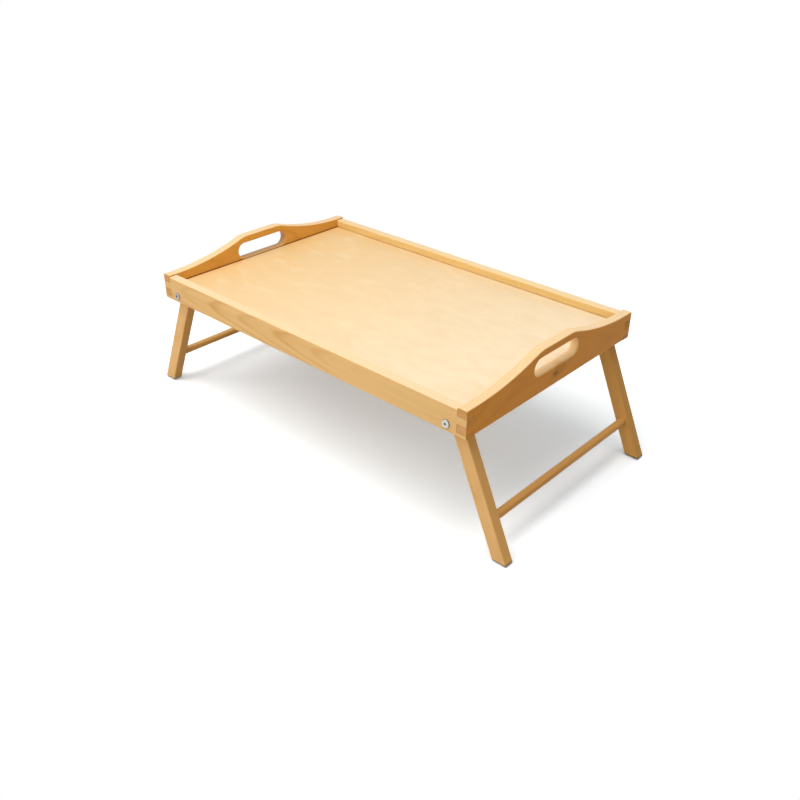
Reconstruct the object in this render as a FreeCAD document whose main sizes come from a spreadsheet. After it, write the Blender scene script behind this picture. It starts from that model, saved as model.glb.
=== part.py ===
import FreeCAD, Part

import os
import re

import Sketcher

# Folding bed tray table. Millimetres, +Z up. The origin is on the surface that the feet
# stand on, under the middle of the tray. X runs along the tray, from one handle to the other,
# and Y runs across it, with the front at negative Y.
#
# The tray is a box-jointed frame round a thin plywood panel. Two leg frames, each a pair of
# legs joined by a round crossbar, hang on four pivots through the front and back rails. Open,
# the legs splay out and bear on the bottom inner edges of the end panels. Closed, they lie
# flat under the plywood.

os.makedirs("parts", exist_ok=True)
doc = FreeCAD.newDocument("bed_tray_table")


# ---------------------------------------------------------------- driving sizes
SIZES = {
    # tray frame
    "tray_length": 500,
    "tray_width": 310,
    "rail_height": 31,
    "rail_thickness": 12,
    "panel_thickness": 12,
    "panel_proud": 2,          # how far an end panel stands above the rails at its corners
    "bottom_finger": 4.5,      # height of the lowest finger of the box joint
    "edge_ease": 1.2,          # rounding of the long edges that a hand touches
    # end panel's handle
    "hump_rise": 19.5,         # from the panel's level corners to its top
    "hump_flat": 48,           # level run at the top of the hump
    "level_run": 10,           # level run at each corner
    "shoulder_radius": 45,
    "slot_length": 82,
    "slot_height": 20,
    "grip_height": 10,         # wood left above the slot
    "slot_round": 3,           # rounding of the slot's two mouths
    # plywood panel in its grooves
    "ply_thickness": 3,
    "ply_depth": 10,           # the plywood's top face below the rails' top
    "tongue": 5,               # how far the plywood reaches into each groove
    "groove_end_gap": 0.4,
    "groove_play": 0.2,
    # leg frames
    "clear_height": 143,       # the tray's underside above the surface it stands on
    "leg_width": 17,
    "leg_thickness": 13,
    "leg_splay": 24,           # degrees from upright, when open
    "pivot_height": 9,         # pivots above the tray's underside
    "stop_gap": 0.3,
    "leg_ease": 1.2,
    "foot_chamfer": 2.2,       # all round the sole of each foot
    "crossbar_diameter": 10,
    "crossbar_along": 117,     # from the pivot, along the leg
    "socket_depth": 8,
    "socket_fit": 0.05,
    "socket_end_gap": 0.2,
    "crossbar_end": 0.8,       # chamfer at the crossbar's ends
    # pivots
    "sleeve_radius": 3,
    "sleeve_fit": 0.05,
    "running_fit": 0.08,
    "side_play": 0.15,
    "washer_radius": 6.5,
    "washer_thickness": 1,
    "head_radius": 4.9,
    "head_thickness": 1.6,
    "head_round": 0.9,
    "bore_radius": 2,
    "bore_depth": 18,
    "screw_length": 14,
    "screw_fit": 0.05,
    "screw_tip": 0.5,
    "socket_flats": 3,
    "hex_depth": 1.1,
}

sheet = doc.addObject("Spreadsheet::Sheet", "Sizes")
for row, (alias, number) in enumerate(SIZES.items(), start=1):
    sheet.set(f"A{row}", alias)
    sheet.set(f"B{row}", str(number))
    sheet.setAlias(f"B{row}", alias)
doc.recompute()

# ---------------------------------------------------------------- sizes worked out from them
# A formula is written with the plain names above and the names below.
DERIVED = {
    "half_length": "(tray_length / 2)",
    "half_width": "(tray_width / 2)",
    "rail_end": "(half_length - panel_thickness)",
    "panel_end": "(half_width - rail_thickness)",
    "corner_height": "(rail_height + panel_proud)",
    "finger": "((corner_height - bottom_finger) / 3)",
    "hump_top": "(corner_height + hump_rise)",
    "sweep_end": "(half_width - level_run)",
    "sweep_run": "(sweep_end - hump_flat / 2)",
    "both_radii": "((sweep_run ^ 2 + hump_rise ^ 2) / (2 * hump_rise))",
    "sweep_radius": "(both_radii - shoulder_radius)",
    "sweep_join_y": "(hump_flat / 2 + shoulder_radius * sweep_run / both_radii)",
    "sweep_join_z": "(hump_top - shoulder_radius * hump_rise / both_radii)",
    "slot_z": "(hump_top - grip_height - slot_height / 2)",
    "slot_straight": "(slot_length / 2 - slot_height / 2)",
    "ply_bottom": "(rail_height - ply_depth - ply_thickness)",
    "groove_depth": "(tongue + groove_end_gap)",
    "groove_height": "(ply_thickness + groove_play)",
    "sine": "sin(leg_splay * 1 deg)",
    "cosine": "cos(leg_splay * 1 deg)",
    "pivot_inset": "((leg_width / 2 + stop_gap + pivot_height * sine) / cosine)",
    "pivot_x": "(rail_end - pivot_inset)",
    "pivot_z": "(clear_height + pivot_height)",
    "foot_outer": "((pivot_z + leg_width / 2 * sine) / cosine)",
    "foot_inner": "((pivot_z - leg_width / 2 * sine) / cosine)",
    "leg_outer_y": "(panel_end - washer_thickness - side_play)",
    "leg_middle_y": "(leg_outer_y - leg_thickness / 2)",
    "leg_inner_y": "(leg_outer_y - leg_thickness)",
    "screw_seat_y": "(leg_inner_y - side_play)",
    "sleeve_length": "(half_width - screw_seat_y)",
    "crossbar_radius": "(crossbar_diameter / 2)",
    "crossbar_x": "(pivot_x + crossbar_along * sine)",
    "crossbar_z": "(pivot_z - crossbar_along * cosine)",
    "crossbar_half": "(leg_inner_y + socket_depth - socket_end_gap)",
    "hex_corner": "(socket_flats / 2 / cos(30 * 1 deg))",
}


def formula(text):
    """The expression over the size sheet that a formula in plain names stands for."""
    def expand(match):
        word = match[0]
        if word in DERIVED:
            return formula(DERIVED[word])
        return f"Sizes.{word}" if word in SIZES else word
    return re.sub(r"[a-z][a-z_]*", expand, text)


def worth(text):
    """The number that a formula gives now."""
    result = sheet.evalExpression(formula(text))
    return float(getattr(result, "Value", result))


def bind(thing, prop, text):
    thing.setExpression(prop, formula(text))


# ---------------------------------------------------------------- sketches
# A sketch's own numbers for its axes and for the points of an edge.
HORIZONTAL_AXIS, VERTICAL_AXIS = -1, -2
START, END, CENTRE = range(1, 4)


def new_body(label):
    body = doc.addObject("PartDesign::Body", label)
    body.Label = label
    return body


def new_sketch(body, name, role, offset="0"):
    """A sketch on one of the body's own origin planes, moved along the plane's normal."""
    sketch = body.newObject("Sketcher::SketchObject", name)
    planes = [datum for datum in body.Origin.OriginFeatures if datum.Role == role]
    sketch.AttachmentSupport = [(planes[0], "")]
    sketch.MapMode = "FlatFace"
    if offset != "0":
        bind(sketch, ".AttachmentOffset.Base.z", offset)
    return sketch


def hold(sketch, edge, end, kind, text):
    """Hold one coordinate of an edge's point at a formula, or on an axis where that is 0."""
    if text == "0":
        axis = VERTICAL_AXIS if kind == "DistanceX" else HORIZONTAL_AXIS
        sketch.addConstraint(Sketcher.Constraint("PointOnObject", edge, end, axis))
        return
    rule = Sketcher.Constraint(kind, HORIZONTAL_AXIS, START, edge, end, worth(text))
    bind(sketch, f"Constraints[{sketch.addConstraint(rule)}]", text)


def hold_both(sketch, edge, end, corner):
    hold(sketch, edge, end, "DistanceX", corner[0])
    hold(sketch, edge, end, "DistanceY", corner[1])


def arc_between(start, end, centre, turn):
    """An arc about a centre from start to end, anticlockwise where turn is 1."""
    first, last = (start, end) if turn > 0 else (end, start)
    circle = Part.Circle(centre, FreeCAD.Vector(0, 0, 1), (start - centre).Length)
    return Part.ArcOfCircle(circle, circle.parameter(first), circle.parameter(last))


def draw_loop(sketch, corners, arcs=None):
    """Draw a closed outline through corners, each a pair of formulas.

    arcs maps a corner's number to the centre and turn of the arc that leaves it. Every other
    edge is straight. Each corner is held at its formulas, and so is each arc's centre, on the
    axis along which it can still move.
    """
    arcs = arcs or {}
    points = [FreeCAD.Vector(worth(u), worth(v), 0) for u, v in corners]
    ends = []
    for number, start in enumerate(points):
        end = points[(number + 1) % len(points)]
        if number not in arcs:
            edge = sketch.addGeometry(Part.LineSegment(start, end), False)
            ends.append((edge, START, END))
            continue
        centre, turn = arcs[number]
        middle = FreeCAD.Vector(worth(centre[0]), worth(centre[1]), 0)
        edge = sketch.addGeometry(arc_between(start, end, middle, turn), False)
        ends.append((edge, START, END) if turn > 0 else (edge, END, START))
    for number, (edge, _, finish) in enumerate(ends):
        next_edge, next_start, _ = ends[(number + 1) % len(ends)]
        sketch.addConstraint(Sketcher.Constraint("Coincident", edge, finish, next_edge, next_start))
    for number, (edge, begin, _) in enumerate(ends):
        hold_both(sketch, edge, begin, corners[number])
    for number, (centre, _) in arcs.items():
        chord = points[(number + 1) % len(points)] - points[number]
        upright = abs(chord.y) > abs(chord.x)
        kind, text = ("DistanceX", centre[0]) if upright else ("DistanceY", centre[1])
        hold(sketch, ends[number][0], CENTRE, kind, text)


def draw_circle(sketch, centre, radius):
    middle = FreeCAD.Vector(worth(centre[0]), worth(centre[1]), 0)
    circle = Part.Circle(middle, FreeCAD.Vector(0, 0, 1), worth(radius))
    edge = sketch.addGeometry(circle, False)
    hold_both(sketch, edge, CENTRE, centre)
    index = sketch.addConstraint(Sketcher.Constraint("Radius", edge, worth(radius)))
    bind(sketch, f"Constraints[{index}]", radius)


def rectangle(left, right, low, high):
    return [(left, low), (right, low), (right, high), (left, high)]


# ---------------------------------------------------------------- features
def pad(body, sketch, length, symmetric=False):
    feature = body.newObject("PartDesign::Pad", sketch.Name + "_pad")
    feature.Profile = sketch
    feature.SideType = "Symmetric" if symmetric else "One side"
    bind(feature, "Length", length)
    doc.recompute()
    return feature


def cut(body, sketch, depth="", reverse=False):
    """A pocket along or against the sketch's normal, or right through both ways."""
    before = body.Shape.Volume
    feature = body.newObject("PartDesign::Pocket", sketch.Name + "_pocket")
    feature.Profile = sketch
    if depth:
        bind(feature, "Length", depth)
        feature.Reversed = reverse
    else:
        feature.SideType = "Symmetric"
        feature.Type = "ThroughAll"
    doc.recompute()
    if body.Shape.Volume >= before:
        raise ValueError(f"{body.Label}: {sketch.Name} cuts nothing")
    return feature


def edges_where(shape, test):
    return [f"Edge{number}" for number, edge in enumerate(shape.Edges, start=1) if test(edge)]


def soften(body, kind, name, base, size, test):
    """Round or chamfer the edges of a feature that pass the test."""
    feature = body.newObject(f"PartDesign::{kind}", name)
    feature.Base = (base, edges_where(base.Shape, test))
    bind(feature, "Radius" if kind == "Fillet" else "Size", size)
    doc.recompute()
    return feature


HAIR = 1e-3  # two places that differ by less are the same place


def near(one, other):
    return abs(one - other) < HAIR


def flat_at(edge, axis, place):
    """Whether a whole edge lies in the plane where the axis has the given value."""
    box = edge.BoundBox
    low, high = getattr(box, axis + "Min"), getattr(box, axis + "Max")
    return near(low, place) and near(high, place)


def place(body, x="0", y="0", z="0", axis=(0, 0, 1), angle="0"):
    """Put a body where it goes, turned about an axis through its own origin."""
    turn = FreeCAD.Rotation(FreeCAD.Vector(*axis), worth(angle))
    body.Placement = FreeCAD.Placement(FreeCAD.Vector(0, 0, 0), turn)
    for letter, text in zip("xyz", (x, y, z)):
        if text != "0":
            bind(body, f".Placement.Base.{letter}", text)
    if angle in SIZES:
        bind(body, ".Placement.Rotation.Angle", angle)


# ---------------------------------------------------------------- tray frame
def mirrored(half):
    """An outline from its left half, listed from the bottom to the top."""
    right = [(u[1:] if u.startswith("-") else u, v) for u, v in reversed(half)]
    return half + right


def make_rail(label, turned):
    """A rail with box-joint fingers at both ends, a stopped groove and two pivot holes."""
    body = new_body(label)
    half = [
        ("-half_length", "0"),
        ("-half_length", "bottom_finger"),
        ("-rail_end", "bottom_finger"),
        ("-rail_end", "bottom_finger + finger"),
        ("-half_length", "bottom_finger + finger"),
        ("-half_length", "bottom_finger + 2 * finger"),
        ("-rail_end", "bottom_finger + 2 * finger"),
        ("-rail_end", "rail_height"),
    ]
    outline = new_sketch(body, label + "_outline", "XZ_Plane", "panel_end")
    draw_loop(outline, mirrored(half))
    board = pad(body, outline, "rail_thickness")

    groove = new_sketch(body, label + "_groove", "XZ_Plane", "panel_end")
    reach = "rail_end + groove_depth"
    draw_loop(groove, rectangle(f"-({reach})", reach, "ply_bottom", "ply_bottom + groove_height"))
    cut(body, groove, "groove_depth", reverse=True)

    pivots = new_sketch(body, label + "_pivot_holes", "XZ_Plane", "panel_end")
    for x in ("-pivot_x", "pivot_x"):
        draw_circle(pivots, (x, "pivot_height"), "sleeve_radius + sleeve_fit")
    drilled = cut(body, pivots, "2 * rail_thickness", reverse=True)

    top = worth("rail_height")
    outer = -worth("half_width")
    span = worth("tray_length")

    def long_edge(edge):
        if edge.Length < span / 2:
            return False
        return flat_at(edge, "Z", top) or (flat_at(edge, "Z", 0) and flat_at(edge, "Y", outer))

    body.Tip = soften(body, "Fillet", label + "_eased", drilled, "edge_ease", long_edge)
    place(body, z="clear_height", angle="180" if turned else "0")
    return body


def make_end_panel(label, turned):
    """An end panel: box-joint fingers, a swept hump over a rounded hand slot, and a groove."""
    body = new_body(label)
    half = [
        ("-panel_end", "0"),
        ("-panel_end", "bottom_finger"),
        ("-half_width", "bottom_finger"),
        ("-half_width", "bottom_finger + finger"),
        ("-panel_end", "bottom_finger + finger"),
        ("-panel_end", "bottom_finger + 2 * finger"),
        ("-half_width", "bottom_finger + 2 * finger"),
        ("-half_width", "corner_height"),
        ("-sweep_end", "corner_height"),
        ("-sweep_join_y", "sweep_join_z"),
        ("-hump_flat / 2", "hump_top"),
    ]
    sweep, shoulder, shoulder_right, sweep_right = 8, 9, 11, 12
    arcs = {
        sweep: (("-sweep_end", "corner_height + sweep_radius"), 1),
        shoulder: (("-hump_flat / 2", "hump_top - shoulder_radius"), -1),
        shoulder_right: (("hump_flat / 2", "hump_top - shoulder_radius"), -1),
        sweep_right: (("sweep_end", "corner_height + sweep_radius"), 1),
    }
    outline = new_sketch(body, label + "_outline", "YZ_Plane", "rail_end")
    draw_loop(outline, mirrored(half), arcs)
    pad(body, outline, "panel_thickness")

    slot = new_sketch(body, label + "_slot", "YZ_Plane", "rail_end")
    low, high = "slot_z - slot_height / 2", "slot_z + slot_height / 2"
    right_end, left_end = 1, 3
    ends = {
        right_end: (("slot_straight", "slot_z"), 1),
        left_end: (("-slot_straight", "slot_z"), 1),
    }
    draw_loop(slot, rectangle("-slot_straight", "slot_straight", low, high), ends)
    cut(body, slot)

    groove = new_sketch(body, label + "_groove", "YZ_Plane", "rail_end")
    reach = "panel_end + groove_depth"
    draw_loop(groove, rectangle(f"-({reach})", reach, "ply_bottom", "ply_bottom + groove_height"))
    grooved = cut(body, groove, "groove_depth", reverse=True)

    inner, outer = worth("rail_end"), worth("half_length")
    reach_y = worth("slot_length") / 2 + HAIR
    slot_low = worth(low) - HAIR
    slot_high = worth(high) + HAIR
    level = worth("corner_height")

    def on_faces(edge):
        return flat_at(edge, "X", inner) or flat_at(edge, "X", outer)

    def slot_edge(edge):
        box = edge.BoundBox
        inside = box.YMin > -reach_y and box.YMax < reach_y
        return on_faces(edge) and inside and box.ZMin > slot_low and box.ZMax < slot_high

    def outer_edge(edge):
        if not on_faces(edge):
            return False
        upper = edge.BoundBox.ZMin > level - HAIR
        return upper or (flat_at(edge, "Z", 0) and flat_at(edge, "X", outer))

    routed = soften(body, "Fillet", label + "_slot_mouths", grooved, "slot_round", slot_edge)
    body.Tip = soften(body, "Fillet", label + "_eased", routed, "edge_ease", outer_edge)
    place(body, z="clear_height", angle="180" if turned else "0")
    return body


def make_tray_panel():
    """The plywood sheet, held on all four sides in the grooves."""
    sheet_of_ply = doc.addObject("Part::Box", "tray_panel")
    sheet_of_ply.Label = "tray_panel"
    bind(sheet_of_ply, "Length", "2 * (rail_end + tongue)")
    bind(sheet_of_ply, "Width", "2 * (panel_end + tongue)")
    bind(sheet_of_ply, "Height", "ply_thickness")
    bind(sheet_of_ply, ".Placement.Base.x", "-(rail_end + tongue)")
    bind(sheet_of_ply, ".Placement.Base.y", "-(panel_end + tongue)")
    bind(sheet_of_ply, ".Placement.Base.z", "clear_height + ply_bottom")
    return sheet_of_ply


# ---------------------------------------------------------------- leg frames
def make_leg(label, end, side):
    """A leg: round at the pivot, its foot cut level with the floor, a blind crossbar socket.

    It is drawn upright with the pivot at its origin, then leaned outward by the splay. end is
    1 at the right of the tray and -1 at the left, and side is 1 at the back and -1 at the front.
    """
    body = new_body(label)
    depths = ("-foot_inner", "-foot_outer") if end > 0 else ("-foot_outer", "-foot_inner")
    corners = [
        ("-leg_width / 2", "0"),
        ("-leg_width / 2", depths[0]),
        ("leg_width / 2", depths[1]),
        ("leg_width / 2", "0"),
    ]
    outline = new_sketch(body, label + "_outline", "XZ_Plane")
    round_top = 3
    draw_loop(outline, corners, {round_top: (("0", "0"), 1)})
    pad(body, outline, "leg_thickness", symmetric=True)

    pivot = new_sketch(body, label + "_pivot_hole", "XZ_Plane")
    draw_circle(pivot, ("0", "0"), "sleeve_radius + running_fit")
    cut(body, pivot)

    # The socket is in the face that looks at the other leg of the pair. The plane's normal is -Y.
    front = side < 0
    inner_face = "-leg_thickness / 2" if front else "leg_thickness / 2"
    socket = new_sketch(body, label + "_socket", "XZ_Plane", inner_face)
    draw_circle(socket, ("0", "-crossbar_along"), "crossbar_radius + socket_fit")
    socketed = cut(body, socket, "socket_depth", reverse=front)

    half_thickness = worth("leg_thickness") / 2
    foot_low = -worth("foot_inner") + HAIR

    def sole_edge(edge):
        return edge.BoundBox.ZMax < foot_low

    def side_edge(edge):
        if edge.isClosed() or edge.BoundBox.ZMax < -HAIR:
            return False
        return flat_at(edge, "Y", half_thickness) or flat_at(edge, "Y", -half_thickness)

    chamfered = soften(body, "Chamfer", label + "_foot", socketed, "foot_chamfer", sole_edge)
    body.Tip = soften(body, "Fillet", label + "_eased", chamfered, "leg_ease", side_edge)

    x = "pivot_x" if end > 0 else "-pivot_x"
    y = "-leg_middle_y" if front else "leg_middle_y"
    place(body, x, y, "pivot_z", (0, -end, 0), "leg_splay")
    return body


def make_crossbar(label, end):
    """The round bar between a pair of legs, chamfered at both ends."""
    body = new_body(label)
    ring = new_sketch(body, label + "_ring", "XZ_Plane")
    draw_circle(ring, ("0", "0"), "crossbar_radius")
    rod = pad(body, ring, "2 * crossbar_half", symmetric=True)
    body.Tip = soften(body, "Chamfer", label + "_ends", rod, "crossbar_end", lambda edge: edge.isClosed())
    place(body, "crossbar_x" if end > 0 else "-crossbar_x", "0", "crossbar_z")
    return body


# ---------------------------------------------------------------- pivots
def make_turned(label, shank):
    """A headed metal piece turned about its own Z, with a hex socket sunk in its head.

    The head's seat is at the origin, and shank is the rest of the half section from there on.
    """
    profile = [("0", "-head_thickness"), ("head_radius", "-head_thickness"), ("head_radius", "0")] + shank
    body = new_body(label)
    section = new_sketch(body, label + "_section", "XZ_Plane")
    draw_loop(section, profile)
    turned = body.newObject("PartDesign::Revolution", label + "_turned")
    turned.Profile = section
    turned.ReferenceAxis = (section, ["V_Axis"])
    turned.Angle = 360
    doc.recompute()

    hexagon = new_sketch(body, label + "_hex", "XY_Plane", "-head_thickness")
    flat, corner = "socket_flats / 2", "hex_corner"
    corners = [
        (corner, "0"),
        (f"{corner} / 2", flat),
        (f"-{corner} / 2", flat),
        ("-" + corner, "0"),
        (f"-{corner} / 2", "-" + flat),
        (f"{corner} / 2", "-" + flat),
    ]
    draw_loop(hexagon, corners)
    socketed = cut(body, hexagon, "hex_depth", reverse=True)

    low = -worth("head_thickness")
    rim_radius = worth("head_radius")

    def rim(edge):
        round_rim = edge.Curve.TypeId == "Part::GeomCircle" and near(edge.Curve.Radius, rim_radius)
        return round_rim and flat_at(edge, "Z", low)

    body.Tip = soften(body, "Fillet", label + "_head", socketed, "head_round", rim)
    return body


def make_pivot(name, end, side):
    """One pivot: a headed sleeve through rail and leg, a washer between them, and a screw.

    Each piece is drawn with its seat at its origin and turned to lie along Y.
    """
    x = "pivot_x" if end > 0 else "-pivot_x"
    inward = "90" if side > 0 else "-90"
    outward = "-90" if side > 0 else "90"
    sign = "" if side > 0 else "-"

    sleeve_shank = [
        ("sleeve_radius", "0"),
        ("sleeve_radius", "sleeve_length"),
        ("bore_radius", "sleeve_length"),
        ("bore_radius", "sleeve_length - bore_depth"),
        ("0", "sleeve_length - bore_depth"),
    ]
    sleeve = make_turned(name + "_pivot_sleeve", sleeve_shank)
    place(sleeve, x, sign + "half_width", "pivot_z", (1, 0, 0), inward)

    screw_shank = [
        ("bore_radius - screw_fit", "0"),
        ("bore_radius - screw_fit", "screw_length - screw_tip"),
        ("bore_radius - screw_fit - screw_tip", "screw_length"),
        ("0", "screw_length"),
    ]
    screw = make_turned(name + "_pivot_screw", screw_shank)
    place(screw, x, sign + "screw_seat_y", "pivot_z", (1, 0, 0), outward)

    washer = new_body(name + "_pivot_washer")
    ring = new_sketch(washer, name + "_washer_ring", "XY_Plane")
    draw_circle(ring, ("0", "0"), "washer_radius")
    draw_circle(ring, ("0", "0"), "sleeve_radius + sleeve_fit")
    washer.Tip = pad(washer, ring, "washer_thickness")
    place(washer, x, sign + "panel_end", "pivot_z", (1, 0, 0), inward)
    return [sleeve, screw, washer]


# ---------------------------------------------------------------- assembly
sub_parts = [
    make_rail("front_rail", turned=False),
    make_rail("back_rail", turned=True),
    make_end_panel("right_end_panel", turned=False),
    make_end_panel("left_end_panel", turned=True),
    make_tray_panel(),
]
for end_name, end in (("left", -1), ("right", 1)):
    for side_name, side in (("front", -1), ("back", 1)):
        sub_parts.append(make_leg(f"{end_name}_{side_name}_leg", end, side))
        sub_parts.extend(make_pivot(f"{end_name}_{side_name}", end, side))
    sub_parts.append(make_crossbar(f"{end_name}_crossbar", end))

doc.recompute()

for thing in doc.Objects:
    if "Invalid" in thing.State or "Error" in thing.State:
        raise ValueError(f"{thing.Label} failed: {thing.State}")
for piece in sub_parts:
    if piece.Shape.isNull() or not piece.Shape.isValid() or len(piece.Shape.Solids) != 1:
        raise ValueError(f"{piece.Label} is not one valid solid")

for piece in sub_parts:
    piece.Shape.exportStep(f"parts/{piece.Label}.step")
    print(f"{piece.Label:28s} {piece.Shape.Volume / 1000:8.2f} cm3")
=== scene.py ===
import math
from collections import namedtuple

import bpy
from mathutils import Matrix, Vector


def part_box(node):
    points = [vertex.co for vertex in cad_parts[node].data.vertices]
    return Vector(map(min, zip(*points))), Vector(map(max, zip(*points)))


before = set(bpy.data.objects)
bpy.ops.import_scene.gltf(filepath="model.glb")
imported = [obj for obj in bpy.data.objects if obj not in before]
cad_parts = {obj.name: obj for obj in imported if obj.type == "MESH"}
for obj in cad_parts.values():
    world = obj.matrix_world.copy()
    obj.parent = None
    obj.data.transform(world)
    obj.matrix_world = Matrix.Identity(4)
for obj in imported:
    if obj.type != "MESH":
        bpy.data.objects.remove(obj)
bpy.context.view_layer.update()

# A folding bed tray table in clear-lacquered hardwood, with a birch plywood sheet and bright
# steel pivots. Metres, +Z up, the feet on z = 0, X along the tray and Y across it.

MM = 0.001
X, Y, Z = Vector((1, 0, 0)), Vector((0, 1, 0)), Vector((0, 0, 1))
SCENE = bpy.context.scene

# ---------------------------------------------------------------- colours, linear
# A board's colours: its early and late wood, its end grain, the tone of its edges and, on an end
# panel, the walls of its hand slot. The edges' tone is painted light: a paler painted sheen on the
# tops, undersides and cut edges of the rails, panels and crossbars, and darker painted shade on
# the legs' sides.
Wood = namedtuple("Wood", "pale dark end edge wall", defaults=(None,))
PANEL_END, LEG_END = (0.68, 0.34, 0.11), (0.52, 0.24, 0.06)
FRONT_RAIL = Wood((0.87, 0.55, 0.225), (0.65, 0.345, 0.10), (0.76, 0.31, 0.04), (0.90, 0.64, 0.375))
BACK_RAIL = Wood((0.82, 0.56, 0.215), (0.65, 0.39, 0.12), (0.62, 0.26, 0.04), (0.88, 0.64, 0.355))
# The left panel's hand slot walls are painted shade, darker than its edges.
LEFT_PANEL = Wood(
    (0.78, 0.385, 0.07), (0.58, 0.24, 0.03), PANEL_END, (0.88, 0.615, 0.33), (0.63, 0.37, 0.17)
)
# The right panel's colours are painted shade: darker and redder than its wood, for its outer side,
# which is turned away from the light.
RIGHT_PANEL = Wood(
    (0.87, 0.35, 0.034), (0.66, 0.235, 0.018), PANEL_END, (0.86, 0.615, 0.33), (0.88, 0.62, 0.32)
)
# The back legs' colours are a darker copy of the front legs', painted shade for the shade under the
# tray that they stand in.
FRONT_LEG = Wood((0.89, 0.535, 0.215), (0.70, 0.36, 0.10), LEG_END, (0.82, 0.44, 0.135))
SHADED_BACK_LEG = Wood((0.83, 0.45, 0.133), (0.60, 0.28, 0.055), LEG_END, (0.65, 0.33, 0.075))
# The right crossbar's colours are a darker copy of the left one's, painted shade.
LEFT_BAR = Wood((0.84, 0.46, 0.13), (0.58, 0.27, 0.05), LEG_END, (0.90, 0.56, 0.21))
SHADED_RIGHT_BAR = Wood((0.75, 0.37, 0.095), (0.54, 0.235, 0.04), LEG_END, (0.78, 0.41, 0.115))
# Takes the painted shade off the right panel's inner side, which the light reaches.
INSIDE_UNSHADED = (0.90, 1.10, 2.0)         # times the right hand panel's colour, on its inner side
KNOT_COLOUR, KNOT_HALO = (0.34, 0.12, 0.004), (0.62, 0.235, 0.015)
FOOT_SHADOW_COLOUR = (0.10, 0.05, 0.02)
# The dark of the box joints' seams, and of the painted shade along the plywood's grooves.
GAP_AND_SHADE_COLOUR = (0.28, 0.10, 0.008)
PLY_PALE, PLY_GOLD, PLY_DARK = (0.885, 0.72, 0.485), (0.81, 0.495, 0.176), (0.72, 0.47, 0.19)
PLY_SPOT = (0.90, 0.71, 0.44)
STEEL_COLOUR, STEEL_DARK = (0.48, 0.475, 0.46), (0.10, 0.10, 0.10)
WHITE, BLACK = (1, 1, 1), (0, 0, 0)

# ---------------------------------------------------------------- places on the table
LEG_SPLAY = math.radians(24)
KNOT_PLACE = Vector((0.250, -0.0014, 0.1565))        # just under the right hand slot
KNOT_SIZE = Vector((20, 5.2, 3.8)) * MM
SHADE_PLACE = KNOT_PLACE + Vector((0, 8, 3)) * MM    # darker wood above the knot, to the back
SHADE_SIZE = Vector((20, 14, 7)) * MM
SLOT_REACH = 50 * MM                # a hand slot's, either way from the middle
SLOT_CEILING = 9 * MM               # under the top of the hump: the slot's walls lie below it
FINGER_EDGES = (4.5 * MM, 14 * MM, 23.5 * MM)        # seams, above the tray's underside
SEAM_HALF_WIDTH = 0.45 * MM         # of a seam between two fingers, as drawn
LINE_CORE = 0.4                     # of a drawn line's half width: it is full that far out
# Heights between which a painted shade sets in, from where it starts to where it is full: the
# groove's line above the plywood, and the end of a foot above the floor, the foot's painted shadow.
GROOVE_SHADE, SOLE_SHADE = (1.5 * MM, 0.7 * MM), (3.8 * MM, 2.2 * MM)
SOLE_FRAY = 2 * MM                  # how far a foot's dark end wanders along the grain
INNER_MARGIN = 0.1 * MM             # past the frame's inner faces, still taken as on them


# ---------------------------------------------------------------- shader building
# A pattern of noise in a board: how many changes it has in a metre along the grain and across
# it, what it adds to the board's seed, its detail and its roughness.
Pattern = namedtuple("Pattern", "along across shift detail roughness", defaults=(0.5,))


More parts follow.
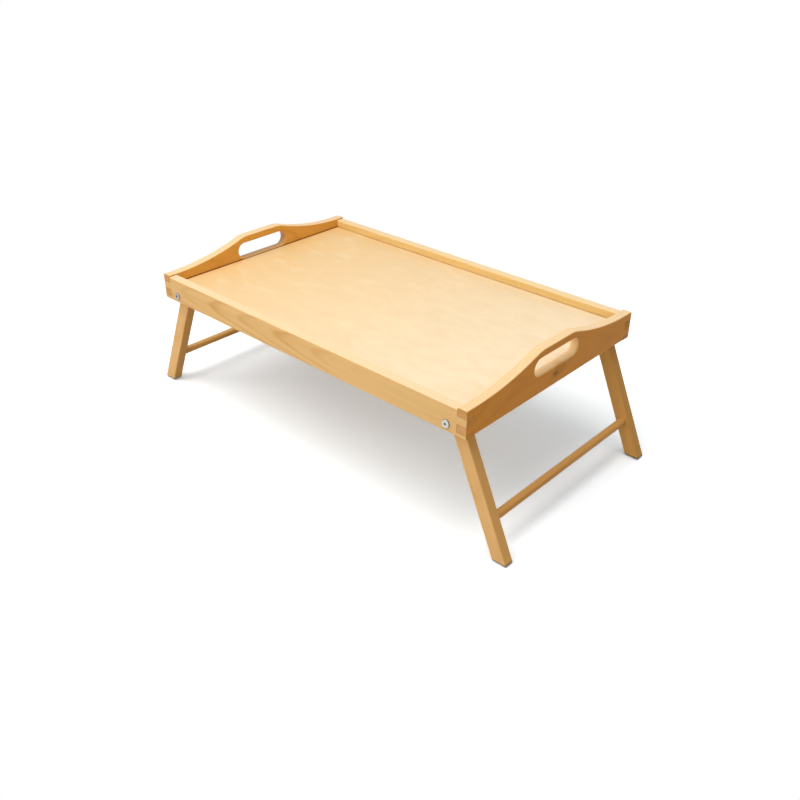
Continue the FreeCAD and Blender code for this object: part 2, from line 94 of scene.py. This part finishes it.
class Tree:
    """A node tree with short calls for the nodes that the finishes are made of."""

    def __init__(self, holder):
        """Takes the node tree of a material or world, and empties it."""
        holder.use_nodes = True
        holder.node_tree.nodes.clear()
        self.nodes, self.links = holder.node_tree.nodes, holder.node_tree.links

    def add(self, kind, **settings):
        node = self.nodes.new("ShaderNode" + kind)
        for name, value in settings.items():
            setattr(node, name, value)
        return node

    def put(self, socket, value):
        if isinstance(value, bpy.types.NodeSocket):
            self.links.new(value, socket)
        elif hasattr(socket.default_value, "__len__") and len(value) < len(socket.default_value):
            socket.default_value = (*value, 1)
        else:
            socket.default_value = value

    def maths(self, operation, *values, clamp=False):
        node = self.add("Math", operation=operation, use_clamp=clamp)
        for socket, value in zip(node.inputs, values):
            self.put(socket, value)
        return node.outputs[0]

    def vector(self, operation, *values):
        node = self.add("VectorMath", operation=operation)
        for socket, value in zip(node.inputs, values):
            self.put(socket, value)
        return node.outputs["Value" if operation in ("DOT_PRODUCT", "LENGTH") else "Vector"]

    def along(self, vector, axis):
        return self.vector("DOT_PRODUCT", vector, axis)

    def off_centre(self, vector, axis):
        """How far the vector reaches along the axis, either way."""
        return self.maths("ABSOLUTE", self.along(vector, axis))

    def around(self, value, share, base):
        """base, moved by a share of how far the value lies from one half."""
        return self.maths("MULTIPLY_ADD", self.maths("SUBTRACT", value, 0.5), share, base)

    def noise(self, vector, pattern, seed=0.0):
        """The pattern's noise, from 0 to 1, at a place in the board's own coordinates."""
        node = self.add("TexNoise", noise_dimensions="4D")
        scale = (pattern.along, pattern.across, pattern.across)
        self.put(node.inputs["Vector"], self.vector("MULTIPLY", vector, scale))
        self.put(node.inputs["W"], seed + pattern.shift)
        self.put(node.inputs["Scale"], 1.0)
        self.put(node.inputs["Detail"], pattern.detail)
        self.put(node.inputs["Roughness"], pattern.roughness)
        return node.outputs["Fac"]

    def span(self, value, low, high, to_low=0.0, to_high=1.0, smooth=True):
        """value brought from one range to another, and kept in it."""
        node = self.add("MapRange", interpolation_type="SMOOTHSTEP" if smooth else "LINEAR")
        for socket, given in zip(node.inputs, (value, low, high, to_low, to_high)):
            self.put(socket, given)
        return node.outputs[0]

    def line(self, value, place, half_width):
        """1 where the value is at the place, and 0 beyond the half width."""
        away = self.maths("ABSOLUTE", self.maths("SUBTRACT", value, place))
        return self.span(away, half_width, LINE_CORE * half_width)

    def between(self, value, low, high):
        """1 between two places, and 0 outside them."""
        from_low = self.maths("GREATER_THAN", value, low)
        return self.maths("MULTIPLY", from_low, self.maths("LESS_THAN", value, high))

    def mix(self, share, one, other):
        node = self.add("Mix", data_type="RGBA", clamp_factor=True)
        colours = [socket for socket in node.inputs if socket.type == "RGBA"]
        self.put(node.inputs["Factor"], share)
        self.put(colours[0], one)
        self.put(colours[1], other)
        return [socket for socket in node.outputs if socket.type == "RGBA"][0]

    def ramp(self, value, stops):
        node = self.add("ValToRGB")
        points = node.color_ramp.elements
        while len(points) < len(stops):
            points.new(0.5)
        for point, (place, level) in zip(points, stops):
            point.position = place
            point.color = (level, level, level, 1)
        self.put(node.inputs[0], value)
        return node.outputs["Color"]

    def bump(self, height, depth):
        node = self.add("Bump")
        self.put(node.inputs["Strength"], 1.0)
        self.put(node.inputs["Distance"], depth)
        self.put(node.inputs["Height"], height)
        return node.outputs["Normal"]


def new_material(name):
    material = bpy.data.materials.new(name)
    tree = Tree(material)
    shader = tree.add("BsdfPrincipled")
    output = tree.add("OutputMaterial")
    tree.links.new(shader.outputs[0], output.inputs["Surface"])
    return material, tree, shader


def board_coordinates(tree, centre, along, face, object_coordinates):
    """The board's own coordinates: X along its grain, Y across its face, Z through it."""
    rows = Matrix((along, face.cross(along), face))
    node = tree.add("Mapping")
    node.inputs["Rotation"].default_value = rows.to_euler("XYZ")
    node.inputs["Location"].default_value = -(rows @ centre)
    tree.put(node.inputs["Vector"], object_coordinates)
    return node.outputs[0]


# ---------------------------------------------------------------- wood
# How a board was sawn: how deep the tree's heart lies under its face at mid-length, how much
# deeper per metre along it, how far it lies to one side, how far apart the rings are, how far
# they wander, how strongly they show, and how strongly they still show at the board's far end.
Sawing = namedtuple("Sawing", "pith_depth drift side ring_width sway figure far_figure")
FRONT_RAIL_SAWING = Sawing(54 * MM, -0.034, 5 * MM, 2.07 * MM, 1.6 * MM, 0.75, 0.10)
BACK_RAIL_SAWING = Sawing(30 * MM, -0.050, 0, 4.2 * MM, 16 * MM, 0.45, 0.30)
PANEL_SAWING = Sawing(50 * MM, 0.060, 0, 5.0 * MM, 24 * MM, 0.42, 0.42)
LEG_SAWING = Sawing(45 * MM, 0.045, 0, 4.0 * MM, 18 * MM, 0.38, 0.38)
BAR_SAWING = Sawing(30 * MM, 0.030, 0, 3.2 * MM, 12 * MM, 0.40, 0.40)
FIGURE_FADE = (20 * MM, 110 * MM)      # where along a board its figure goes over to the far one
LEAST_DEPTH, DEPTH_BLEND = 9 * MM, 6 * MM    # of the heart, which never comes to the face

WANDER = Pattern(5, 14, 0, 1.0)        # bends the growth rings
RIPPLE = Pattern(14, 90, 3, 1.0)       # frays them
FIBRE = Pattern(16, 1100, 1, 3.0, 0.6)
STREAK = Pattern(5, 210, 2, 2.0, 0.6)
CLOUD = Pattern(6, 40, 4, 2.0)
PORES = Pattern(260, 2600, 5, 0.0)
PORE_RANGE = (0.68, 0.76)              # of the noise, over which a pore opens

RING_FRAY = 0.4                        # of a ring's width
# How dark a ring is on its way out, from one ring's end to the next one's.
RING_STOPS = [(0.0, 0.40), (0.10, 0.03), (0.62, 0.18), (0.90, 1.0), (1.0, 0.40)]
RING_STRENGTH = (0.35, 1.0)            # the faintest ring's and the strongest one's

# How dark plain wood is, from 0 to 1, and how much each pattern can change that.
PLAIN_DARKNESS, FIBRE_SHARE, STREAK_SHARE, CLOUD_SHARE, PORE_SHARE = 0.06, 0.40, 0.60, 0.65, 0.22

# How squarely a surface looks out of the board's face, from where it starts to count as an edge
# to where it is one, and the same along the grain for end grain.
EDGE_FACING, END_FACING = (0.96, 0.55), (0.75, 0.95)

# How much of the wood's colour a tone or mark covers: the edges' tone on the palest wood and on
# the darkest, the seams and the groove's line on faces along X and on those across it.
EDGE_COVER, END_COVER, END_SPECKLE, SOLE_COVER = (1.0, 0.65), 0.90, 0.6, 0.9
SEAM_COVER, GROOVE_COVER = (0.55, 0.30), (0.30, 0.80)

# The knot's forms: the darker wood above it, its halo and its core. Each has its place, its
# size and its colour, how far the wood's clouds fray its rim, the reaches over which it sets in,
# in units of its size, and how much it covers.
KnotForm = namedtuple("KnotForm", "place size colour fray starts full cover")
KNOT_FORMS = (
    KnotForm(SHADE_PLACE, SHADE_SIZE, KNOT_HALO, 0.8, 1.15, 0.5, 0.60),
    KnotForm(KNOT_PLACE, KNOT_SIZE, KNOT_HALO, 1.4, 2.4, 0.6, 0.60),
    KnotForm(KNOT_PLACE, KNOT_SIZE, KNOT_COLOUR, 1.4, 1.15, 0.40, 0.88),
)

WOOD_ROUGHNESS, FIBRE_ROUGHNESS, END_ROUGHNESS = 0.36, 0.16, 0.18
WOOD_RELIEF, STREAK_RELIEF, PORE_RELIEF = 0.06 * MM, 0.6, -0.6
WOOD_SPECULAR = 0.13


def growth_rings(tree, board, seed, sawing):
    """How dark the wood is from 0 to 1 by the growth rings that its face cuts through."""
    wander = tree.noise(board, WANDER, seed)
    ripple = tree.noise(board, RIPPLE, seed)
    x, y, z = (tree.along(board, axis) for axis in (X, Y, Z))
    sideways = tree.around(wander, sawing.sway, tree.maths("ADD", y, sawing.side))
    sunk = tree.maths("MULTIPLY_ADD", x, sawing.drift, tree.maths("ADD", z, sawing.pith_depth))
    sunk = tree.maths("SMOOTH_MAX", sunk, LEAST_DEPTH, DEPTH_BLEND)
    deep = tree.around(wander, sawing.sway, sunk)
    squares = tree.maths("MULTIPLY_ADD", sideways, sideways, tree.maths("MULTIPLY", deep, deep))
    turns = tree.maths("DIVIDE", tree.maths("SQRT", squares), sawing.ring_width)
    turns = tree.maths("MULTIPLY_ADD", ripple, RING_FRAY, turns)
    band = tree.ramp(tree.maths("FRACT", turns), RING_STOPS)
    number = tree.add("CombineXYZ")
    tree.put(number.inputs[0], tree.maths("FLOOR", turns))
    tree.put(number.inputs[1], seed)
    whole = tree.add("TexWhiteNoise", noise_dimensions="2D")
    tree.put(whole.inputs["Vector"], number.outputs[0])
    strength = tree.span(whole.outputs["Value"], 0, 1, *RING_STRENGTH, smooth=False)
    return tree.maths("MULTIPLY", band, strength)


def joint_seams(tree, place):
    """1 on the hairlines where the fingers of a corner's box joint meet."""
    corner_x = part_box("right_end_panel")[0].x
    corner_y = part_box("back_rail")[0].y
    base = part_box("front_rail")[0].z
    low, middle, high = (base + edge for edge in FINGER_EDGES)
    x, y = (tree.off_centre(place, axis) for axis in (X, Y))
    z = tree.along(place, Z)
    past_x = tree.maths("GREATER_THAN", x, corner_x - SEAM_HALF_WIDTH)
    past_y = tree.maths("GREATER_THAN", y, corner_y - SEAM_HALF_WIDTH)
    across = tree.line(z, low, SEAM_HALF_WIDTH)
    for edge in (middle, high):
        across = tree.maths("MAXIMUM", across, tree.line(z, edge, SEAM_HALF_WIDTH))
    above = tree.maths("GREATER_THAN", z, high)
    panel_finger = tree.maths("MAXIMUM", tree.between(z, low, middle), above)
    rail_finger = tree.maths("SUBTRACT", 1.0, panel_finger)
    beside_panel = tree.maths("MULTIPLY", tree.line(x, corner_x, SEAM_HALF_WIDTH), panel_finger)
    beside_rail = tree.maths("MULTIPLY", tree.line(y, corner_y, SEAM_HALF_WIDTH), rail_finger)
    seams = tree.maths("MAXIMUM", across, tree.maths("MAXIMUM", beside_panel, beside_rail))
    return tree.maths("MULTIPLY", seams, tree.maths("MULTIPLY", past_x, past_y))


def groove_shadow_line(tree, place):
    """1 along the foot of the frame's inner faces, where the plywood enters its groove: painted
    shade.
    """
    inner_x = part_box("right_end_panel")[0].x
    inner_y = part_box("back_rail")[0].y
    ply_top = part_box("tray_panel")[1].z
    x, y = (tree.off_centre(place, axis) for axis in (X, Y))
    inside_x = tree.maths("LESS_THAN", x, inner_x + INNER_MARGIN)
    inside_y = tree.maths("LESS_THAN", y, inner_y + INNER_MARGIN)
    inside = tree.maths("MULTIPLY", inside_x, inside_y)
    starts, full = (ply_top + height for height in GROOVE_SHADE)
    return tree.maths("MULTIPLY", inside, tree.span(tree.along(place, Z), starts, full))


def with_knot(tree, colour, place, cloud):
    """A small tight knot in the halo of the grain that runs round it, and darker wood above."""
    for form in KNOT_FORMS:
        away = tree.vector("DIVIDE", tree.vector("SUBTRACT", place, form.place), form.size)
        reach = tree.around(cloud, form.fray, tree.vector("LENGTH", away))
        cover = tree.span(reach, form.starts, form.full, 0.0, form.cover)
        colour = tree.mix(cover, colour, form.colour)
    return colour


def with_gaps(tree, colour, place, normal):
    """The box joints' seams, and the painted shade where the plywood enters its groove, both drawn
    as dark lines.
    """
    facing_x = tree.off_centre(normal, X)
    seam_cover = tree.span(facing_x, 0, 1, *SEAM_COVER)
    groove_cover = tree.span(facing_x, 0, 1, *GROOVE_COVER)
    seams = tree.maths("MULTIPLY", joint_seams(tree, place), seam_cover)
    groove = tree.maths("MULTIPLY", groove_shadow_line(tree, place), groove_cover)
    return tree.mix(tree.maths("MAXIMUM", seams, groove), colour, GAP_AND_SHADE_COLOUR)


def wood(name, piece, along, face, tones, seed, sawing, marks=()):
    """Clear-lacquered hardwood, its grain along the board, with the marks that are named."""
    material, tree, shader = new_material(name)
    low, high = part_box(piece)
    coordinates = tree.add("TexCoord")
    place, normal = coordinates.outputs["Object"], coordinates.outputs["Normal"]
    board = board_coordinates(tree, (low + high) / 2, along, face, place)
    end_grain = tree.span(tree.off_centre(normal, along), *END_FACING)
    # Painted light: faces that look out across the board's face, its tops, undersides, sides and
    # cut edges, take the edges' tone: a painted sheen on the tray's boards and crossbars, painted
    # shade on the legs.
    edge = tree.span(tree.off_centre(normal, face), *EDGE_FACING)
    lengthways = tree.along(board, X)
    painted_edge_tone = tones.edge
    # In an end panel's hand slot the walls take the wall tone, which on the left panel is painted
    # shade.
    if tones.wall:
        past_slot = tree.maths("GREATER_THAN", tree.maths("ABSOLUTE", lengthways), SLOT_REACH)
        below_top = tree.maths("LESS_THAN", tree.along(place, Z), high.z - SLOT_CEILING)
        in_slot = tree.maths("MULTIPLY", below_top, tree.maths("SUBTRACT", 1.0, past_slot))
        painted_edge_tone = tree.mix(in_slot, tones.edge, tones.wall)
        end_grain = tree.maths("MULTIPLY", end_grain, past_slot)

    rings = growth_rings(tree, board, seed, sawing)
    fibre = tree.noise(board, FIBRE, seed)
    streak = tree.noise(board, STREAK, seed)
    cloud = tree.noise(board, CLOUD, seed)
    pore = tree.span(tree.noise(board, PORES, seed), *PORE_RANGE)

    figure = tree.span(lengthways, *FIGURE_FADE, sawing.figure, sawing.far_figure)
    darkness = tree.maths("MULTIPLY_ADD", rings, figure, PLAIN_DARKNESS)
    for grain, share in ((fibre, FIBRE_SHARE), (streak, STREAK_SHARE), (cloud, CLOUD_SHARE)):
        darkness = tree.around(grain, share, darkness)
    darkness = tree.maths("MULTIPLY_ADD", pore, PORE_SHARE, darkness, clamp=True)
    colour = tree.mix(darkness, tones.pale, tones.dark)
    if "shade painted outside" in marks:
        # Painted shade: the panel's colours are those of its shaded outer side; its inner side is
        # made paler.
        inside = tree.maths("LESS_THAN", tree.along(normal, face), 0.0)
        colour = tree.vector("MULTIPLY", colour, tree.mix(inside, WHITE, INSIDE_UNSHADED))
    # Painted light: the edges' tone laid over the wood's colour on its edges.
    cover = tree.span(darkness, 0, 1, *EDGE_COVER, smooth=False)
    colour = tree.mix(tree.maths("MULTIPLY", edge, cover), colour, painted_edge_tone)
    speckle = tree.around(cloud, END_SPECKLE, tree.around(streak, END_SPECKLE, END_COVER))
    colour = tree.mix(tree.maths("MULTIPLY", end_grain, speckle, clamp=True), colour, tones.end)
    if "knot" in marks:
        colour = with_knot(tree, colour, place, cloud)
    if "joints" in marks:
        colour = with_gaps(tree, colour, place, normal)
    if "sole" in marks:
        # Painted shadow: a foot is darkened at its lowest few millimetres, where it stands on the
        # floor.
        height = tree.around(streak, SOLE_FRAY, tree.along(place, Z))
        colour = tree.mix(tree.span(height, *SOLE_SHADE, 0.0, SOLE_COVER), colour, FOOT_SHADOW_COLOUR)

    tree.put(shader.inputs["Base Color"], colour)
    rough = tree.maths("MULTIPLY_ADD", fibre, FIBRE_ROUGHNESS, WOOD_ROUGHNESS)
    rough = tree.maths("MULTIPLY_ADD", end_grain, END_ROUGHNESS, rough)
    tree.put(shader.inputs["Roughness"], rough)
    height = tree.maths("MULTIPLY_ADD", pore, PORE_RELIEF, fibre)
    height = tree.maths("MULTIPLY_ADD", streak, STREAK_RELIEF, height)
    tree.put(shader.inputs["Normal"], tree.bump(height, WOOD_RELIEF))
    shader.inputs["Specular IOR Level"].default_value = WOOD_SPECULAR
    return material


# ---------------------------------------------------------------- plywood
PLY_WARP = Pattern(9, 14, 2, 2.0)      # bends the others sideways, all but the flecks
PLY_BEND = 50 * MM                     # the most that it bends them
PLY_CLOUD = Pattern(16, 24, 5, 3.0, 0.55)
PLY_BLOTCH = Pattern(40, 62, 14, 2.0, 0.55)
PLY_SPOTS = Pattern(24, 44, 23, 2.0)
PLY_FLAME = Pattern(7, 110, 8, 3.0, 0.55)
PLY_FIBRE = Pattern(22, 1300, 11, 3.0, 0.6)
PLY_FLECKS = Pattern(110, 900, 17, 0.0)
SPOT_RANGE, SPOT_COVER = (0.50, 0.78), 0.55
FLECK_RANGE, FLECK_SHARE = (0.74, 0.82), 0.22

# How dark plain veneer is, from 0 to 1, and how much each pattern can change that.
PLY_PLAIN_DARKNESS = 0.10
PLY_CLOUD_SHARE, PLY_BLOTCH_SHARE, PLY_FLAME_SHARE, PLY_FIBRE_SHARE = 0.70, 0.52, 0.22, 0.07

# Painted light: the veneer is paler towards the front right corner, where more light falls on the
# sheet.
PAINTED_LIGHT_WAY = X - 0.2 * Y
PAINTED_LIGHT_RANGE, PAINTED_LIGHT_FRAY = (-0.34, 0.20), 0.20

# The painted shade line where the sheet enters its grooves, from where it starts to where it is
# full, inside the frame's faces. It is strong all along the left panel, which throws its shade on
# the sheet, shows at the right one only to either side of the hand slot, where light comes
# through the slot, and is faint along the rails. It sets in over SLOT_SIDE, away from the middle
# across the table, and over LEFT_HALF, towards the left along it.
PANEL_LINE, RAIL_LINE = (2.2 * MM, 1.2 * MM), (1.8 * MM, 0.8 * MM)
SLOT_SIDE, LEFT_HALF = (SLOT_REACH - 4 * MM, SLOT_REACH + 4 * MM), (-0.1, 0.1)
SLOT_SIDE_COVER, LEFT_COVER, RAIL_COVER = 0.55, 0.95, 0.30

PLY_ROUGHNESS, PLY_FIBRE_ROUGHNESS = 0.38, 0.14
PLY_RELIEF = 0.03 * MM
PLY_SPECULAR = 0.35


def plywood():
    """Rotary-cut birch veneer: broad pale clouds, faint lines, painted light towards the front
    right, and a painted shade line along the frame.
    """
    material, tree, shader = new_material("birch_plywood")
    low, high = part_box("tray_panel")
    place = tree.add("TexCoord").outputs["Object"]
    board = board_coordinates(tree, (low + high) / 2, X, Z, place)

    shift = tree.add("CombineXYZ")
    tree.put(shift.inputs[1], tree.maths("MULTIPLY", tree.noise(board, PLY_WARP), PLY_BEND))
    bent = tree.vector("ADD", board, shift.outputs[0])
    cloud = tree.noise(bent, PLY_CLOUD)
    fibre = tree.noise(bent, PLY_FIBRE)

    # Painted light: the veneer goes from gold to pale towards the front right corner.
    across = tree.around(cloud, PAINTED_LIGHT_FRAY, tree.along(place, PAINTED_LIGHT_WAY))
    painted_light = tree.span(across, *PAINTED_LIGHT_RANGE, smooth=False)
    colour = tree.mix(painted_light, PLY_GOLD, PLY_PALE)
    spots = tree.span(tree.noise(bent, PLY_SPOTS), *SPOT_RANGE, 0.0, SPOT_COVER)
    colour = tree.mix(spots, colour, PLY_SPOT)
    darkness = PLY_PLAIN_DARKNESS
    for grain, share in (
        (cloud, PLY_CLOUD_SHARE),
        (tree.noise(bent, PLY_BLOTCH), PLY_BLOTCH_SHARE),
        (tree.noise(bent, PLY_FLAME), PLY_FLAME_SHARE),
        (fibre, PLY_FIBRE_SHARE),
    ):
        darkness = tree.around(grain, share, darkness)
    fleck = tree.span(tree.noise(board, PLY_FLECKS), *FLECK_RANGE)
    darkness = tree.maths("MULTIPLY_ADD", fleck, FLECK_SHARE, darkness, clamp=True)
    colour = tree.mix(darkness, colour, PLY_DARK)

    inner_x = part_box("right_end_panel")[0].x
    inner_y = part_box("back_rail")[0].y
    x, y = (tree.off_centre(place, axis) for axis in (X, Y))
    past_slot = tree.span(y, *SLOT_SIDE, 0.0, SLOT_SIDE_COVER)
    on_left = tree.span(tree.along(place, -X), *LEFT_HALF, 0.0, LEFT_COVER)
    panel_shade_line = tree.span(x, *(inner_x - width for width in PANEL_LINE))
    panel_shade_line = tree.maths("MULTIPLY", panel_shade_line, tree.maths("MAXIMUM", past_slot, on_left))
    rail_shade_line = tree.span(y, *(inner_y - width for width in RAIL_LINE), 0.0, RAIL_COVER)
    colour = tree.mix(tree.maths("MAXIMUM", panel_shade_line, rail_shade_line), colour, GAP_AND_SHADE_COLOUR)

    tree.put(shader.inputs["Base Color"], colour)
    rough = tree.maths("MULTIPLY_ADD", fibre, PLY_FIBRE_ROUGHNESS, PLY_ROUGHNESS)
    tree.put(shader.inputs["Roughness"], rough)
    tree.put(shader.inputs["Normal"], tree.bump(fibre, PLY_RELIEF))
    shader.inputs["Specular IOR Level"].default_value = PLY_SPECULAR
    return material


# ---------------------------------------------------------------- steel
TURNING = Pattern(9000, 0, 1, 2.0)     # fine rings, which change along the radius
SMUDGES = Pattern(400, 400, 4, 2.0)
# The radii between which a head's shade sets in, down in its socket and at its rim.
SOCKET_SHADE, RIM_SHADE = (2.1 * MM, 0.9 * MM), (3.9 * MM, 4.8 * MM)
SOCKET_COVER, RIM_COVER, SMUDGE_COVER = 0.62, 0.55, 0.25
STEEL_ROUGHNESS, TURNED_ROUGHNESS = 0.24, 0.2
STEEL_RELIEF = 0.01 * MM


def turned_steel(name, piece):
    """Bright turned steel: faint rings about the pivot's axis, with painted shade down in its
    socket and at its rim.
    """
    material, tree, shader = new_material(name)
    low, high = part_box(piece)
    place = tree.add("TexCoord").outputs["Object"]
    board = board_coordinates(tree, (low + high) / 2, X, Y, place)
    radius = tree.vector("LENGTH", tree.vector("MULTIPLY", board, (1, 1, 0)))
    circle = tree.add("CombineXYZ")
    tree.put(circle.inputs[0], radius)
    ring = tree.noise(circle.outputs[0], TURNING)
    smudge = tree.maths("MULTIPLY", tree.noise(board, SMUDGES), SMUDGE_COVER)
    socket = tree.span(radius, *SOCKET_SHADE, 0.0, SOCKET_COVER)
    rim = tree.span(radius, *RIM_SHADE, 0.0, RIM_COVER)
    shade = tree.maths("MAXIMUM", socket, tree.maths("MAXIMUM", rim, smudge))
    tree.put(shader.inputs["Base Color"], tree.mix(shade, STEEL_COLOUR, STEEL_DARK))
    rough = tree.maths("MULTIPLY_ADD", ring, TURNED_ROUGHNESS, STEEL_ROUGHNESS)
    tree.put(shader.inputs["Roughness"], rough)
    tree.put(shader.inputs["Normal"], tree.bump(ring, STEEL_RELIEF))
    shader.inputs["Metallic"].default_value = 1.0
    return material


# ---------------------------------------------------------------- the pieces
def dress(node, material):
    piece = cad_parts[node]
    piece.data.materials.clear()
    piece.data.materials.append(material)


def dress_frame():
    for node, tones, seed, sawing in (
        ("front_rail", FRONT_RAIL, 40.0, FRONT_RAIL_SAWING),
        ("back_rail", BACK_RAIL, 17.0, BACK_RAIL_SAWING),
    ):
        rail = wood("hardwood_" + node, node, X, Y, tones, seed, sawing, ("joints",))
        dress(node, rail)
    for node, tones, seed, marks in (
        ("left_end_panel", LEFT_PANEL, 31.0, ("joints",)),
        ("right_end_panel", RIGHT_PANEL, 38.0, ("joints", "knot", "shade painted outside")),
    ):
        panel = wood("hardwood_" + node, node, Y, X, tones, seed, PANEL_SAWING, marks)
        dress(node, panel)
    dress("tray_panel", plywood())


def dress_leg_frames():
    seed, seed_step = 50.0, 7
    for end, sign, bar_tones in (("left", -1, LEFT_BAR), ("right", 1, SHADED_RIGHT_BAR)):
        down = Vector((sign * math.sin(LEG_SPLAY), 0, -math.cos(LEG_SPLAY)))
        for side, leg_tones in (("front", FRONT_LEG), ("back", SHADED_BACK_LEG)):
            node = f"{end}_{side}_leg"
            leg = wood("hardwood_" + node, node, down, Y, leg_tones, seed, LEG_SAWING, ("sole",))
            dress(node, leg)
            seed += seed_step
        node = f"{end}_crossbar"
        bar = wood("hardwood_" + node, node, Y, X, bar_tones, seed, BAR_SAWING)
        dress(node, bar)
        seed += seed_step


def dress_pivots():
    for end in ("left", "right"):
        for side in ("front", "back"):
            for part in ("sleeve", "screw", "washer"):
                node = f"{end}_{side}_pivot_{part}"
                dress(node, turned_steel("steel_" + node, node))


# ---------------------------------------------------------------- studio
# Softboxes: where each stands, what it points at, its width and height, and its power in watts.
Softbox = namedtuple("Softbox", "place target width height power")
OVERHEAD = Softbox(Vector((-0.15, -0.48, 1.18)), Vector((-0.05, -0.34, 0.10)), 0.75, 1.80, 14.4)
FRONT = Softbox(Vector((0.05, -1.50, 0.32)), Vector((0.05, 0.0, 0.12)), 1.40, 0.60, 4.8)
BACK = Softbox(Vector((0.10, 1.50, 0.70)), Vector((0.0, 0.0, 0.10)), 1.40, 0.60, 2.5)
AMBIENT = 0.36                       # the world's light on the object; the camera sees it white
FLOOR_SIZE = 30.0
FLOOR_GLOW = (0.078, 0.136, 0.187)   # what the floor shows the camera by itself
FLOOR_GAIN = (1.335, 1.32, 1.28)     # how much of the light on the floor the camera sees
FLOOR_BOUNCE = (0.46, 0.41, 0.33)    # how much of it the floor throws back on the object
WHITE_FROM, WHITE_BY = 0.35, 0.66    # radii between which the floor goes over to plain white


def seen_rays(tree):
    """1 for camera, glossy and transmission rays, and 0 for the rest."""
    path = tree.add("LightPath")
    shown = tree.maths("MAXIMUM", path.outputs["Is Camera Ray"], path.outputs["Is Glossy Ray"])
    return tree.maths("MAXIMUM", shown, path.outputs["Is Transmission Ray"])


def make_floor():
    half = FLOOR_SIZE / 2
    corners = [(-half, -half, 0), (half, -half, 0), (half, half, 0), (-half, half, 0)]
    mesh = bpy.data.meshes.new("floor")
    mesh.from_pydata(corners, [], [(0, 1, 2, 3)])
    floor = bpy.data.objects.new("floor", mesh)
    SCENE.collection.objects.link(floor)

    material = bpy.data.materials.new("pale_floor")
    tree = Tree(material)
    shown = seen_rays(tree)
    distance = tree.vector("LENGTH", tree.add("TexCoord").outputs["Object"])
    white = tree.maths("MULTIPLY", shown, tree.span(distance, WHITE_FROM, WHITE_BY))
    matt = tree.add("BsdfDiffuse")
    lit = tree.mix(white, FLOOR_GAIN, BLACK)
    tree.put(matt.inputs["Color"], tree.mix(shown, FLOOR_BOUNCE, lit))
    light = tree.add("Emission")
    tree.put(light.inputs["Color"], tree.mix(white, FLOOR_GLOW, WHITE))
    tree.put(light.inputs["Strength"], shown)
    both = tree.add("AddShader")
    output = tree.add("OutputMaterial")
    tree.links.new(matt.outputs[0], both.inputs[0])
    tree.links.new(light.outputs[0], both.inputs[1])
    tree.links.new(both.outputs[0], output.inputs["Surface"])
    mesh.materials.append(material)


def make_softbox(name, softbox):
    lamp = bpy.data.lights.new(name, "AREA")
    lamp.shape = "RECTANGLE"
    lamp.size, lamp.size_y = softbox.width, softbox.height
    lamp.energy = softbox.power
    stand = bpy.data.objects.new(name, lamp)
    stand.location = softbox.place
    stand.rotation_euler = (softbox.place - softbox.target).to_track_quat("Z", "Y").to_euler()
    stand.visible_camera = False
    SCENE.collection.objects.link(stand)


def make_world():
    world = bpy.data.worlds.new("studio")
    tree = Tree(world)
    sky = tree.add("Background")
    tree.put(sky.inputs["Color"], WHITE)
    tree.put(sky.inputs["Strength"], tree.span(seen_rays(tree), 0, 1, AMBIENT, 1.0, smooth=False))
    output = tree.add("OutputWorld")
    tree.links.new(sky.outputs[0], output.inputs["Surface"])
    SCENE.world = world


# ---------------------------------------------------------------- camera
LENS, SENSOR = 40.15, 36.0        # millimetres
AZIMUTH = math.radians(42.28)     # from straight in front, towards the right end
ELEVATION = math.radians(30.73)
ROLL = math.radians(0.42)
DISTANCE = 0.8813
AIM = Vector((0.1851, -0.1799, 0.174))
CLIP_NEAR, CLIP_FAR = 0.01, 100


def make_camera():
    back = Vector((
        math.sin(AZIMUTH) * math.cos(ELEVATION),
        -math.cos(AZIMUTH) * math.cos(ELEVATION),
        math.sin(ELEVATION),
    ))
    level = Vector((math.cos(AZIMUTH), math.sin(AZIMUTH), 0))
    upright = back.cross(level)
    right = level * math.cos(ROLL) + upright * math.sin(ROLL)
    up = upright * math.cos(ROLL) - level * math.sin(ROLL)
    lens = bpy.data.cameras.new("camera")
    lens.lens, lens.sensor_width = LENS, SENSOR
    lens.clip_start, lens.clip_end = CLIP_NEAR, CLIP_FAR
    camera = bpy.data.objects.new("camera", lens)
    turn = Matrix((right, up, back)).transposed().to_4x4()
    camera.matrix_world = Matrix.Translation(AIM + DISTANCE * back) @ turn
    SCENE.collection.objects.link(camera)
    SCENE.camera = camera


dress_frame()
dress_leg_frames()
dress_pivots()
make_floor()
make_softbox("overhead", OVERHEAD)
make_softbox("front", FRONT)
make_softbox("back", BACK)
make_world()
make_camera()
SCENE.view_settings.view_transform = "Standard"
